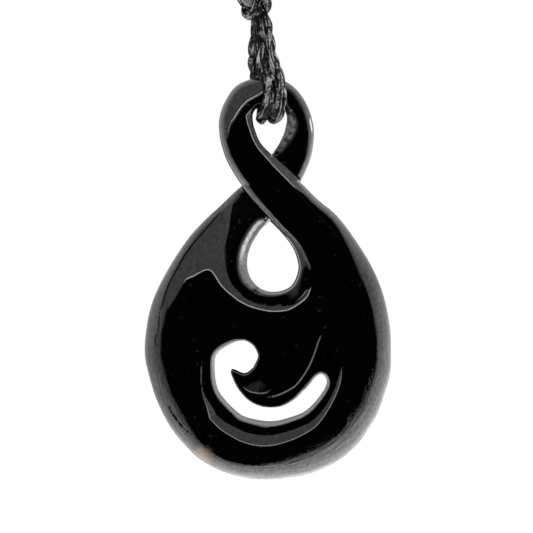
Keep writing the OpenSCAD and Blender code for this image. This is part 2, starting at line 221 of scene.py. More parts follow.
def away(line, u, v, closed=True):
    """How far each place lies from a line."""
    nearest = np.full(u.shape, 1e9)
    ends = np.roll(line, -1, 0)
    for (x0, y0), (x1, y1) in zip(line, ends) if closed else zip(line[:-1], ends[:-1]):
        ex, ey = x1 - x0, y1 - y0
        wx, wy = u - x0, v - y0
        t = np.clip((wx * ex + wy * ey) / (ex * ex + ey * ey + 1e-12), 0, 1)
        nearest = np.minimum(nearest, (wx - ex * t) ** 2 + (wy - ey * t) ** 2)
    return np.sqrt(nearest)


def inside(line, u, v):
    """How far each place lies inside a closed line, and less than nought outside it."""
    within = np.zeros(u.shape, bool)
    for (x0, y0), (x1, y1) in zip(line, np.roll(line, -1, 0)):
        if y1 != y0:
            within ^= ((y0 <= v) != (y1 <= v)) & (u - x0 < (v - y0) * (x1 - x0) / (y1 - y0))
    return np.where(within, 1, -1) * away(line, u, v)


def lower(a, b, r):
    """The lower of two, blended over r."""
    k = np.maximum(r - np.abs(a - b), 0)
    return np.minimum(a, b) - k * k / (4 * r)


def higher(a, b, r):
    """The higher of two, blended over r."""
    return -lower(-a, -b, r)


def ramp(x, a, b):
    """Nought before a, one after b, smooth between."""
    t = np.clip((x - a) / (b - a), 0, 1)
    return t * t * (3 - 2 * t)


def read_off(table, x):
    """A size between the rows of a table."""
    return np.interp(x, *zip(*table))


def by_direction(table, middle, u, v):
    """A width that is drawn for each direction from a middle, in degrees."""
    way = np.degrees(np.arctan2(v - middle[1], u - middle[0]))
    return np.interp(way, *spline(table, 5).T)


LINES = {name: spline(points, 3, closed=True) for name, points in dict(
    loop=LOOP_OUTLINE, body=BODY_OUTLINE, hook=HOOK_SLOT).items()}
for name, points in (("upper_eye", UPPER_EYE), ("lower_eye", LOWER_EYE)):
    LINES[name] = spline(points, 3)[:-1]
for name, points, rest in (
        ("upper", UPPER_EDGE, UPPER_CLOSE), ("lower", LOWER_EDGE, LOWER_CLOSE),
        ("end", END_LINE, END_CLOSE), ("shoulder", WAVE, SHOULDER_CLOSE), ("bed", BED, BED_CLOSE),
        ("tongue", TONGUE, TONGUE_CLOSE), ("tip", TIP, TIP_TOP[1:-1])):
    LINES[name] = np.vstack([spline(points, 3), rest])
LINES["loop_top"] = np.array(LOOP_TOP, float)
LINES["ledge"] = np.vstack([spline(LEDGE, 3), spline(LEDGE_LEFT, 3)[1:], LEDGE_CLOSE])
WAVE_LINE, TONGUE_LINE, OVER_LINE = spline(WAVE, 3), spline(TONGUE, 3), spline(END_LINE, 3)
UNDER_LINE = spline(LOWER_EDGE, 3)
LEDGE_LINE = np.vstack([spline(LEDGE, 3), spline(LEDGE_LEFT, 3)[1:]])


def face_plan(u, v):
    """What one face is carved with: places in from each line, and heights over it."""
    f = {name: inside(LINES[name], u, v)
         for name in ("upper", "lower", "end", "shoulder", "bed", "loop_top")}
    f["strand"] = np.minimum(np.minimum(f["upper"], f["lower"]), f["end"])
    # the bevels along the strand, broad above and narrow below
    broad, narrow, steep = (read_off(table, v) for table in (BROAD_BEVEL, NARROW_BEVEL, BROAD_STEEP))
    over = broad - f["upper"]
    f["ridge"] = -over
    over = np.minimum(over, 0.07 + steep * over)
    under = narrow - f["lower"]
    under = np.maximum(0.5 * under, 1.0 * (under - narrow + 0.14) + 0.5 * narrow)
    fall = np.maximum(np.maximum(over, np.where(narrow > 0.02, under, 0)), 0.8 * (0.2 - f["end"]))
    f["bevel"] = SLAB_HALF - np.maximum(fall, 0)
    # the shoulder falls away from the wave line, and a nearly level bed runs round the eye
    wave = away(WAVE_LINE, u, v, closed=False)
    facet = (SLAB_HALF - read_off(WAVE_STEP, u)
             - (0.2 * ramp(v, -7.0, -2.5) + 0.05 * ramp(u, -4, -2)) * wave)
    level = read_off(BED_HEIGHT, v)
    level = level + (SLAB_HALF - level) * ramp(u, 1.0, 4.7) * (1 - ramp(v, 0.0, 7.0))
    low = higher(facet, level - 0.32 * np.maximum(-f["bed"], 0), 0.05)
    # the loop falls back from the crisp line, and round its right side to pass behind
    left = 2.36 - 0.2 * away(LINES["end"], u, v)
    right = 2.2 - 0.5 * np.maximum(np.arctan2(u, v - LOOP_MIDDLE[1]), 0)
    over = ramp(u, -0.9, 0.9)
    high = left * (1 - over) + right * over
    f["shoulder_height"], f["loop_top_height"] = low, high
    top = np.where(f["shoulder"] > 0, low, np.where(f["loop_top"] > 0, high, SLAB_HALF))
    f["top"] = top + (SLAB_HALF - top) * ramp(f["strand"], -0.35, 0.0)
    f["eye_back"] = by_direction(EYE_BY_DIRECTION, EYE_MIDDLE, u, v)
    f["loop_eye_back"] = by_direction(LOOP_EYE_BY_DIRECTION, LOOP_MIDDLE, u, v)
    return f


def plan(u, v):
    """Everything that the stone's shape needs at a place of its flat drawing."""
    p = {name: inside(LINES[name], u, v)
         for name in ("loop", "body", "upper_eye", "lower_eye", "hook", "ledge", "tongue", "tip")}
    p["front"] = face_plan(u, v)
    p["back"] = face_plan(read_off(TURNED_OVER, v) - u, v)
    p["rim"] = by_direction(RIM_BY_DIRECTION, BODY_MIDDLE, u, v)
    # the slot's outer wall leans in, its tongue's hardly does
    right, up = u - HOOK_MIDDLE[0], v - HOOK_MIDDLE[1]
    reach = np.hypot(right, up)
    p["hook_back"] = HOOK_GROUND + HOOK_LEAN * ramp(reach, 4.0, 5.2) * (1 - 0.4 * ramp(u, 1.0, 6.0))
    # the ledge beside the slot, the crease along the tongue and the facet on its tip
    wide = np.maximum(by_direction(LEDGE_BY_DIRECTION, HOOK_MIDDLE, u, v), 0)
    ledge = 0.05 * np.minimum(wide / 0.5, 1) * ramp(p["ledge"], -0.05, 0.05)
    ledge = ledge + 0.22 * np.clip(p["ledge"], 0, wide)
    way = np.degrees(np.arctan2(up, right))
    ledge = ledge * (1 - ramp(way, -16, -6) * ramp(u, 0, 2) * (1 - ramp(reach, 5.8, 7.6)))
    beyond = np.where(p["tongue"] > 0, 1, -1) * away(TONGUE_LINE, u, v, closed=False)
    crease = 0.08 * ramp(beyond, -0.11, 0.11) * (1 - ramp(beyond, 0.4, 2.4))
    crease = crease * ramp(-v, 4.6, 7.5) * ramp(u, -1.2, 1.4)
    tip = 0.122 * away(np.array(TIP_TOP), u, v, closed=False) * ramp(p["tip"], -0.04, 0.1)
    p["cap"] = SLAB_HALF - ledge - crease - tip
    # the loop's inner right wall rolls softly over into its face
    p["soft_eye"] = 0.06 + 0.24 * ramp(u, 1.0, 2.2) * ramp(v, 12.5, 14.5)
    return p


def plate(depth, rim, half, w, q=2.2):
    """A slab with a rounded rim, less than nought in the stone."""
    x = np.maximum(1 - depth / rim, 0)
    y = np.abs(w) / half
    g = (x ** q + y ** q) ** (1 / q) + 1e-9
    steep = np.sqrt(((x / g) ** (q - 1) / rim) ** 2 + ((y / g) ** (q - 1) / half) ** 2) + 1e-3
    return np.maximum((g - 1) / steep, -2)


def carve(stone, f, w):
    """Takes one face down to its heights, round the strand that is left standing."""
    for where in ("shoulder", "loop_top"):
        burr = lower(lower(w - f[where + "_height"], f[where], CREASE), -f["strand"], CREASE)
        stone = higher(stone, burr, SHOULDER_CREASE)
    return higher(stone, lower(f["strand"] + 0.05, w - f["bevel"], CREASE), STRAND_CREASE)


def stone_at(p, w):
    """The carved stone: less than nought inside it, and nought on its skin."""
    front, back = p["front"], p["back"]
    top = np.maximum(np.where(w > 0, front["top"], back["top"]) + 0.04, 0.2)
    stone = np.minimum(plate(p["body"], p["rim"], top, w), plate(p["loop"], LOOP_RIM, top, w))
    stone = carve(stone, front, w)
    stone = carve(stone, back, -w)
    stone = np.maximum(stone, np.abs(w) - p["cap"])
    ground = np.where(w > 0, front["eye_back"], back["eye_back"])
    stone = higher(stone, plate(-p["lower_eye"], ground, top, w, 1.8), CREASE)
    ground = np.where(w > 0, front["loop_eye_back"], back["loop_eye_back"])
    stone = higher(stone, plate(-p["upper_eye"], ground, top, w, 1.35), p["soft_eye"])
    return higher(stone, plate(p["hook_back"] - p["hook"], p["hook_back"], SLAB_HALF, w), CREASE)


def cut_stone():
    """The stone's skin over a grid: one vertex in each cell that the skin crosses."""
    us, vs, ws = (np.arange(low, high, GRAIN_STEP) for low, high in CUTTING_BOX)
    u, v = np.meshgrid(us, vs, indexing="ij")
    p = plan(u, v)
    deep = np.stack([stone_at(p, w) for w in ws], axis=2)
    shape = tuple(n - 1 for n in deep.shape)
    total, count = np.zeros(shape + (3,)), np.zeros(shape)
    edges = []
    for axis in range(3):
        near, far = [slice(None)] * 3, [slice(None)] * 3
        near[axis], far[axis] = slice(0, -1), slice(1, None)
        a, b = deep[tuple(near)], deep[tuple(far)]
        at = np.argwhere((a < 0) != (b < 0))
        one, two = a[tuple(at.T)], b[tuple(at.T)]
        place = at.astype(float)
        place[:, axis] += one / (one - two)
        edges.append((axis, at, one < 0))
        others = [k for k in range(3) if k != axis]
        for i in (0, 1):
            for j in (0, 1):
                cell = at.copy()
                cell[:, others[0]] -= i
                cell[:, others[1]] -= j
                np.add.at(total, tuple(cell.T), place)
                np.add.at(count, tuple(cell.T), 1)
    number = np.full(shape, -1)
    used = count > 0
    number[used] = np.arange(used.sum())
    points = total[used] / count[used][:, None] * GRAIN_STEP + (us[0], vs[0], ws[0])
    quads = []
    for axis, at, inward in edges:
        j, k = [(1, 2), (2, 0), (0, 1)][axis]
        ring = []
        for dj, dk in ((0, 0), (1, 0), (1, 1), (0, 1)):
            cell = at.copy()
            cell[:, j] -= dj
            cell[:, k] -= dk
            ring.append(number[tuple(cell.T)])
        ring = np.stack(ring, 1)
        ring[~inward] = ring[~inward][:, ::-1]
        quads.append(ring)
    return points, np.vstack(quads)


def mesh_of(name, points, faces, material):
    """A mesh object of equal-sided faces, at the origin."""
    data = bpy.data.meshes.new(name)
    points, faces = np.asarray(points, np.float32), np.asarray(faces, np.int32)
    data.vertices.add(len(points))
    data.vertices.foreach_set("co", points.ravel())
    data.loops.add(faces.size)
    data.loops.foreach_set("vertex_index", faces.ravel())
    data.polygons.add(len(faces))
    data.polygons.foreach_set("loop_start", np.arange(0, faces.size, faces.shape[1], dtype=np.int32))
    data.update(calc_edges=True)
    data.materials.append(material)
    piece = bpy.data.objects.new(name, data)
    bpy.context.scene.collection.objects.link(piece)
    return piece


def skin_slope(places):
    """The depth of places near the skin, and the way that points straight out."""
    u, v, w = places.T
    h = 0.02
    here = plan(u, v)
    slope = np.stack([stone_at(plan(u + h, v), w) - stone_at(plan(u - h, v), w),
                      stone_at(plan(u, v + h), w) - stone_at(plan(u, v - h), w),
                      stone_at(here, w + h) - stone_at(here, w - h)], 1) / (2 * h)
    return stone_at(here, w), slope, here


class Bench:
    """One node tree, with short ways to add to it."""

    def __init__(self, tree):
        self.tree = tree

    def feed(self, socket, value):
        """Gives a socket another node's output, or a plain value."""
        if isinstance(value, bpy.types.NodeSocket):
            self.tree.links.new(value, socket)
        else:
            socket.default_value = value

    def node(self, kind, fed=None, **settings):
        """A node with its settings and with what its sockets are fed."""
        node = self.tree.nodes.new(kind)
        for name, value in settings.items():
            setattr(node, name, value)
        for socket, value in (fed or {}).items():
            self.feed(node.inputs[socket], value)
        return node

    def sum(self, kind, *values):
        """One sum over numbers and outputs."""
        return self.node("ShaderNodeMath", dict(enumerate(values)), operation=kind).outputs[0]

    def times(self, *values):
        """Numbers and outputs multiplied together."""
        whole = values[0]
        for value in values[1:]:
            whole = self.sum("MULTIPLY", whole, value)
        return whole

    def step(self, value, low, high, to_low=0.0, to_high=1.0):
        """A smooth step of a value from one level to another."""
        fed = dict(enumerate((value, low, high, to_low, to_high)))
        return self.node("ShaderNodeMapRange", fed, interpolation_type="SMOOTHSTEP").outputs[0]

    def mix(self, share, first, second):
        """Mixes two colours by a share that changes over the surface."""
        first, second = (x + (1,) if isinstance(x, tuple) else x for x in (first, second))
        fed = {"Factor": share, 6: first, 7: second}
        return self.node("ShaderNodeMix", fed, data_type="RGBA").outputs[2]

    def noise(self, vector, scale, detail, rough):
        """A noise over a vector, in turns for each unit of it."""
        return self.node("ShaderNodeTexNoise", {
            "Vector": vector, "Scale": scale, "Detail": detail, "Roughness": rough}).outputs["Fac"]

    def far_from(self, where, spot):
        """How far each place lies from a spot."""
        return self.node("ShaderNodeVectorMath", {0: where, 1: spot}, operation="DISTANCE").outputs["Value"]

    def parts_of(self, vector):
        """The three parts of a vector."""
        return self.node("ShaderNodeSeparateXYZ", {0: vector}).outputs

    def spread(self):
        """Sets the nodes out in columns, each to the left of what it feeds."""
        column = {node.name: 0 for node in self.tree.nodes}
        moved = True
        while moved:
            moved = False
            for link in self.tree.links:
                if column[link.from_node.name] <= column[link.to_node.name]:
                    column[link.from_node.name] = column[link.to_node.name] + 1
                    moved = True
        filled = {}
        for node in self.tree.nodes:
            row = filled.setdefault(column[node.name], 0)
            node.location = (-220 * column[node.name], -220 * row)
            filled[column[node.name]] += 1


# Polished black jade: near black, with a glassy face, matt grey where a hollow's edge is only ground,
# fine streaks that follow the rim and one tan flaw at the lower left. Painted light as well: paler hollow
# walls, a painted highlight streak and lit mottle on the lower eye's wall, a pale painted mottle on the
# loop's wall, painted highlights along the crisp lines and a painted glint on the rim.
# Each pair is where a change of finish starts and ends, across or up the frame, in metres.
POLISHED, SPECKED = (0.0006, 0.0007, 0.0008), (0.013, 0.014, 0.014)
GROUND_DARK, GROUND_GREY = (0.01, 0.01, 0.011), (0.125, 0.125, 0.13)
# painted light on the hollows' walls: a pale tone low down, where the hook slot is, a less pale one higher
# up, and the heights between
LOW_HOLLOW_LIGHT, HIGH_HOLLOW_LIGHT, HOLLOW_LIGHT_FROM = (0.42, 0.42, 0.42), (0.15, 0.15, 0.155), (-0.1475, -0.1455)
# the lower eye's wall: a dark and a painted lit grey for its mottle, the white of a painted highlight
# streak, and where each lies
WALL_DARK, WALL_LIT_GREY, WALL_HIGHLIGHT_WHITE = (0.012, 0.012, 0.013), (0.24, 0.24, 0.245), (0.8, 0.8, 0.81)
WALL_SIDE, WALL_FOOT, WALL_HEAD = (0.0012, -0.0008), (-0.1425, -0.141), (-0.1322, -0.1332)
WALL_HIGHLIGHT_SIDE, WALL_HIGHLIGHT_FOOT, WALL_HIGHLIGHT_HEAD = (-0.0001, -0.001), (-0.139, -0.1372), (-0.1325, -0.1335)
# the loop's wall: dark, a painted pale light, where it lies, and the heights over which the painted light
# grows
LOOP_DARK, LOOP_WALL_LIGHT = (0.03, 0.03, 0.03), (0.5, 0.5, 0.51)
LOOP_SIDE, LOOP_FOOT, LOOP_LIGHT_RISE = (0.0004, 0.0012), (-0.1285, -0.1275), (-0.1265, -0.1225)
BRUISE, BRUISE_SPOT, BRUISE_EDGE = (0.012, 0.013, 0.013), (0.0001, -0.1277, -0.1504), (0.0013, 0.0006)
# the crisp lines' painted highlight colour, and the grey of the rim's streaks
LINE_HIGHLIGHT, RIM_STREAK_GREY = (0.42, 0.42, 0.41), (0.06, 0.06, 0.06)
RAGGED_FROM, STREAKED_FROM = (-0.139, -0.148), (-0.146, -0.156)
GLINT, GLINT_SPOT, GLINT_EDGE = (0.75, 0.75, 0.75), (0.00525, -0.1312, -0.12305), (0.0011, 0.0006)
TAN, TAN_SPOT, TAN_EDGE = (0.33, 0.22, 0.12), (-0.0071, -0.1318, -0.1596), (0.0024, 0.0012)
black_jade = bpy.data.materials.new("black_jade")
black_jade.use_nodes = True
jade = Bench(black_jade.node_tree)
skin = jade.tree.nodes["Principled BSDF"].inputs
skin["IOR"].default_value = 1.56
where = jade.node("ShaderNodeTexCoord").outputs["Object"]
across, _, height = jade.parts_of(where)
carved = jade.node("ShaderNodeAttribute", attribute_name="carving").outputs["Vector"]
hollow, rim_share, rim_way = jade.parts_of(carved)
line_side, line_far, line_pale = jade.parts_of(
    jade.node("ShaderNodeAttribute", attribute_name="highlight_and_groove_line").outputs["Vector"])
fleck, cloud = jade.noise(where, 2600, 3, 0.6), jade.noise(where, 420, 3, 0.6)
along_rim = jade.node("ShaderNodeCombineXYZ", {0: jade.times(rim_share, 2.0), 1: jade.times(rim_way, 0.06)})
streak = jade.noise(along_rim.outputs[0], 4.5, 4, 0.6)

# polished all over, with pale specks, and ground in a hollow; deeper in, the walls are paler, partly their
# ground finish and partly painted light, palest low down where the hook slot is
ground = jade.step(hollow, 1.0, 0.5)
polished = jade.mix(jade.step(jade.noise(where, 1500, 2, 0.5), 0.66, 0.76), POLISHED, SPECKED)
deep = jade.mix(jade.step(height, *HOLLOW_LIGHT_FROM), LOW_HOLLOW_LIGHT, HIGH_HOLLOW_LIGHT)
matt = jade.mix(jade.step(hollow, 0.9, 0.25, 0.0, 0.85), jade.mix(fleck, GROUND_DARK, GROUND_GREY), deep)
# the lower eye's left wall is dull, with a grey mottle that is partly painted light, and a painted
# highlight: a bright white streak down it
wall = jade.times(jade.step(hollow, 1.6, 1.3, 0.0, 0.8), jade.step(across, *WALL_SIDE),
                  jade.step(height, *WALL_FOOT), jade.step(height, *WALL_HEAD))
soft = jade.times(jade.step(hollow, 1.02, 0.4), jade.step(fleck, 0.3, 0.65, 0.5, 1.0))
matt = jade.mix(wall, matt, jade.mix(soft, WALL_DARK, WALL_LIT_GREY))
wall_highlight = jade.times(jade.step(hollow, 0.72, 0.52), jade.step(hollow, 0.25, 0.42),
                    jade.step(across, *WALL_HIGHLIGHT_SIDE), jade.step(height, *WALL_HIGHLIGHT_FOOT),
                    jade.step(height, *WALL_HIGHLIGHT_HEAD), jade.step(fleck, 0.25, 0.6, 0.35, 1.0))
matt = jade.mix(wall_highlight, matt, WALL_HIGHLIGHT_WHITE)
# the loop's right wall is dull, with painted light: a pale mottle, palest high up where the wall catches
# the light
dull = jade.times(jade.step(hollow, 1.6, 1.3, 0.0, 0.85), jade.step(across, *LOOP_SIDE),
                  jade.step(height, *LOOP_FOOT))
loop_wall_light = jade.times(dull, jade.step(height, *LOOP_LIGHT_RISE, 0.25, 1.0),
                    jade.step(jade.noise(where, 1300, 3, 0.6), 0.36, 0.6), jade.step(hollow, 1.15, 0.5))
matt = jade.mix(dull, matt, jade.mix(loop_wall_light, LOOP_DARK, LOOP_WALL_LIGHT))
dressed = jade.mix(ground, polished, matt)
# a dull bruise on the tongue
bruise = jade.times(jade.step(jade.far_from(where, BRUISE_SPOT), *BRUISE_EDGE),
                    jade.step(fleck, 0.45, 0.62, 0.0, 0.7))
dressed = jade.mix(bruise, dressed, BRUISE)
# the crisp lines get a painted highlight along part of their length, where their edge would catch the
# light, and the grooves are ragged low down
at_line, beside = jade.step(line_far, 0.17, 0.1), jade.sum("ABSOLUTE", line_side)
pale = jade.times(at_line, jade.step(beside, 0.06, 0.025), jade.sum("MAXIMUM", line_pale, 0.0))
dressed = jade.mix(pale, dressed, LINE_HIGHLIGHT)
ragged = jade.times(jade.step(fleck, 0.5, 0.62), jade.step(height, *RAGGED_FROM, 0.0, 0.08))
groove = jade.times(at_line, jade.step(jade.sum("ADD", beside, ragged), 0.11, 0.05),
                    jade.sum("MINIMUM", line_pale, 0.0))
# the rim has paler grey streaks along it, and a painted highlight: a sliver of it on the loop's right is
# painted near white as a glint
rim_streaks = jade.times(jade.step(rim_share, 0.9, 0.5), jade.step(streak, 0.5, 0.72, 0.0, 0.8))
dressed = jade.mix(rim_streaks, dressed, RIM_STREAK_GREY)
glint = jade.times(jade.step(jade.far_from(where, GLINT_SPOT), *GLINT_EDGE),
                   jade.step(rim_share, 0.44, 0.36), jade.step(rim_share, 0.18, 0.26, 0.0, 0.85))
dressed = jade.mix(glint, dressed, GLINT)
# the tan flaw has a clouded edge
flaw = jade.sum("ADD", jade.far_from(where, TAN_SPOT), jade.times(cloud, 0.0016))
jade.feed(skin["Base Color"], jade.mix(jade.step(flaw, *TAN_EDGE, 0.0, 0.85), dressed, TAN))
# the shine is lost in the grooves and on the two dull walls
shine = jade.times(jade.step(fleck, 0.3, 0.7, 0.4, 0.6), jade.sum("ADD", groove, 1.0),
                   jade.sum("SUBTRACT", 1.0, jade.sum("MAXIMUM", dull, wall)))
jade.feed(skin["Specular IOR Level"], shine)
polish = jade.sum("ADD", 0.05, jade.times(cloud, 0.03))
worn = jade.times(jade.step(rim_share, 1.0, 0.6), jade.step(streak, 0.42, 0.72, 0.0, 0.2))
jade.feed(skin["Roughness"], jade.sum("ADD", jade.sum("ADD", polish, worn), jade.times(ground, 0.36)))
# the ground edges have a grain, and the rim fine ridges that are deeper low down
grain = jade.times(fleck, jade.sum("ADD", ground, 0.02))
ridges = jade.times(streak, jade.step(rim_share, 1.25, 0.95), jade.step(height, *STREAKED_FROM, 0.5, 4.0))
bump = jade.node("ShaderNodeBump", {
    "Strength": 0.5, "Distance": 0.00006, "Height": jade.sum("ADD", grain, ridges)})
jade.feed(skin["Normal"], bump.outputs[0])
jade.spread()


def in_frame(rows):
    """Rows of the flat drawing's right, up and forward, turned to the frame's axes."""
    return np.stack([rows[:, 0], -rows[:, 2], rows[:, 1]], 1)


# The slab is cut on the grid, thinned, and each corner is set back on the true skin
points, quads = cut_stone()
pendant = mesh_of("carved_stone", points, quads, black_jade)
thin = pendant.modifiers.new("thin", "DECIMATE")
thin.ratio = min(1.0, STONE_TRIANGLES / (2 * len(quads)))
stone_mesh = bpy.data.meshes.new_from_object(pendant.evaluated_get(bpy.context.evaluated_depsgraph_get()))
pendant.modifiers.clear()
pendant.data = stone_mesh
places = np.empty(len(stone_mesh.vertices) * 3, np.float32)
stone_mesh.vertices.foreach_get("co", places)
places = places.reshape(-1, 3).astype(float)
depth, slope, here = skin_slope(places)
size = np.linalg.norm(slope, axis=1) + 1e-6
out = slope / size[:, None]
places -= out * np.clip(depth / size, -0.05, 0.05)[:, None]
stood = (in_frame(places) + STAND) / 1000
stone_mesh.vertices.foreach_set("co", stood.astype(np.float32).ravel())
stone_mesh.update()
for polygon in stone_mesh.polygons:
    polygon.use_smooth = True

# The skin's own slope shades each corner, but a long facet on the flat faces isn't tilted
# by a corner that lies on a crease
corner = np.empty(len(stone_mesh.loops), np.int32)
stone_mesh.loops.foreach_get("vertex_index", corner)
sides = np.empty(len(stone_mesh.polygons), np.int32)
stone_mesh.polygons.foreach_get("loop_total", sides)
facet_of = np.repeat(np.arange(len(sides)), sides)
first = np.cumsum(sides) - sides
following = np.arange(len(corner)) + 1
following[first + sides - 1] = first
edges = np.linalg.norm(places[corner] - places[corner[following]], axis=1)
long_facet = np.maximum.reduceat(edges, first)[facet_of] > LONG_FACET
middles = np.add.reduceat(places[corner], first) / sides[:, None]
_, level, at_middle = skin_slope(middles)
level = in_frame(level / (np.linalg.norm(level, axis=1)[:, None] + 1e-6))[facet_of]
shade = in_frame(out)[corner]
tilted = long_facet & (np.abs(level[:, 1]) > 0.99) & (np.sum(shade * level, axis=1) < 0.9992)
shade[tilted] = level[tilted]
stone_mesh.normals_split_custom_set(shade.tolist())


def finish_marks(here, spots):
    """How far over a hollow's ground edge, how far in from the rim, and how far round."""
    on_front = spots[:, 2] > 0
    eye_back, loop_back = (np.where(on_front, here["front"][key], here["back"][key])
                           for key in ("eye_back", "loop_eye_back"))
    hook_back = here["hook_back"]
    hollow = np.minimum.reduce([
        -here["lower_eye"] / eye_back + 3 * (1 - ramp(eye_back, 0.5, 1.0)),
        -here["upper_eye"] / loop_back + 3 * (1 - ramp(loop_back, 0.4, 0.8)),
        (hook_back - here["hook"]) / hook_back + 2 * (1 - ramp(hook_back, 0.2, 0.35))])
    way_round = np.arctan2(spots[:, 1] - BODY_MIDDLE[1], spots[:, 0] - BODY_MIDDLE[0])
    way_round = np.where(way_round > np.pi / 2, way_round - 2 * np.pi, way_round) * BODY_REACH
    in_from_rim = np.maximum(here["body"] / here["rim"], here["loop"] / LOOP_RIM)
    return np.stack([hollow, in_from_rim, way_round], 1)


# What the finish reads at each corner; a long facet of a flat face keeps clear of the marks
# that one of its corners may carry
marks = finish_marks(here, places)[corner]
in_middle = np.minimum(finish_marks(at_middle, middles), 1.3)[facet_of]
marks[long_facet, :2] = np.maximum(marks, in_middle)[long_facet, :2]
carving = stone_mesh.attributes.new("carving", "FLOAT_VECTOR", "CORNER")
carving.data.foreach_set("vector", marks.astype(np.float32).ravel())

# The crisp lines: which side of the nearest one each place lies on and how far from it, and
# how strong a painted highlight it gets. A groove is less than nought.
u, v, on_front = places[:, 0], places[:, 1], places[:, 2] > 0
face_u = np.where(on_front, u, read_off(TURNED_OVER, v) - u)
seen = {key: np.where(on_front, here["front"][key], here["back"][key])
        for key in ("shoulder", "end", "ridge", "lower", "strand")}
crisp_lines = (
    (seen["shoulder"], away(WAVE_LINE, face_u, v, closed=False), 0.9 * ramp(face_u, -9.5, -8.9)),
    (seen["end"], away(OVER_LINE, face_u, v, closed=False), ramp(face_u, -4.4, -3.6)),
    (here["ledge"], away(LEDGE_LINE, u, v, closed=False),
     0.4 * ramp(u, -7.5, -6.5) * (1 - ramp(v, -11, -9.3))),
    (here["tip"], away(spline(TIP, 3), u, v, closed=False),
     0.3 * ramp(u, -2.9, -2.2) * (1 - ramp(u, -0.3, 0.2))),
    (seen["ridge"], np.abs(seen["ridge"]) + 9 * (seen["strand"] < 0.04),
     0.55 * ramp(v, 9.8, 10.8) * (1 - ramp(v, 18.4, 18.8))),
    (seen["lower"], away(UNDER_LINE, face_u, v, closed=False),
     0.75 * ramp(face_u, -3.2, -2.7) * (1 - 0.7 * ramp(face_u, 0.0, 2.0)) * ramp(v, 1.5, 2.5)),
    (here["body"], away(np.array(RIM_GROOVE), u, v, closed=False),
     -(0.75 + 0.25 * ramp(v, -6.0, 0.0)) * ramp(v, -8.2, -6.5) * (1 - ramp(v, 7.0, 8.0))),
    (-here["body"], away(np.array(LOW_GROOVE), u, v, closed=False) * 0.7,
     -ramp(v, -17.6, -16.6) * (1 - ramp(v, -14.2, -13.4))))
nearest = np.stack([np.full(len(places), x) for x in (9.0, 9.0, 0.0)])
for side, far, pale in crisp_lines:
    far = np.where(np.abs(pale) < 0.02, 9, far)
    nearest = np.where(far < nearest[1], np.stack([np.copysign(far, side), far, pale]), nearest)
highlight_and_groove_line = stone_mesh.attributes.new("highlight_and_groove_line", "FLOAT_VECTOR", "POINT")
highlight_and_groove_line.data.foreach_set("vector", nearest.T.astype(np.float32).ravel())
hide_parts("pendant")
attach(pendant, "stone")


# The bail: one doubled cord of waxed cotton, from the knot down in front of the loop's
# bar, through the loop and up behind it. Each yarn is three plies of laid fibres.
BAIL_ROUTES = [
    [(-0.9, 30.6, 0.2), (-0.45, 29.5, 0.5), (-0.15, 28.5, 0.6), (0.0, 27.6, 0.8),
     (0.15, 26.6, 1.0), (0.45, 24.9, 1.75), (1.0, 23.3, 3.0), (1.38, 21.6, 3.45),
     (1.42, 20.0, 3.4), (1.25, 18.7, 2.65), (0.95, 18.16, 1.35), (0.65, 18.12, 0.0),
     (0.5, 18.16, -1.4), (0.35, 18.75, -2.8), (0.25, 20.2, -3.45), (0.15, 22.2, -3.4),
     (0.1, 23.6, -2.6), (0.0, 25.2, -1.4), (-0.3, 26.8, -0.9),
     (-0.5, 28.5, -0.6), (-1.0, 30.2, -0.4)],
    [(-1.6, 30.4, 0.2), (-1.3, 29.4, 0.5), (-1.1, 28.4, 0.5), (-1.0, 27.4, 0.4), (-0.8, 26.4, 0.5),
     (-0.75, 24.8, 1.65), (-0.55, 23.3, 3.0), (-0.05, 21.6, 3.45), (0.02, 20.0, 3.35),
     (-0.35, 18.7, 2.75), (-0.68, 18.14, 1.5), (-0.74, 18.1, 0.0), (-0.7, 18.14, -1.4),
     (-0.65, 18.75, -2.8), (-0.9, 20.2, -3.45), (-1.25, 22.0, -3.4), (-1.55, 23.6, -2.4),
     (-1.7, 25.2, -1.0), (-1.5, 26.8, -0.4), (-1.3, 28.4, -0.5), (-1.6, 30.2, -0.3)]]


YARN_PLY, KNOT_PLY = 0.00031, 0.00028   # how far a ply lies off its yarn's middle


def inlets(bench, *wanted):
    """Gives a group its named inputs, with their usual values, and returns their outputs."""
    for name, kind, value in wanted:
        socket = bench.tree.interface.new_socket(
            name, in_out="INPUT", socket_type="NodeSocket" + kind)
        if value is not None:
            socket.default_value = value
    bench.tree.interface.new_socket("Made", in_out="OUTPUT", socket_type="NodeSocketGeometry")
    return bench.node("NodeGroupInput").outputs


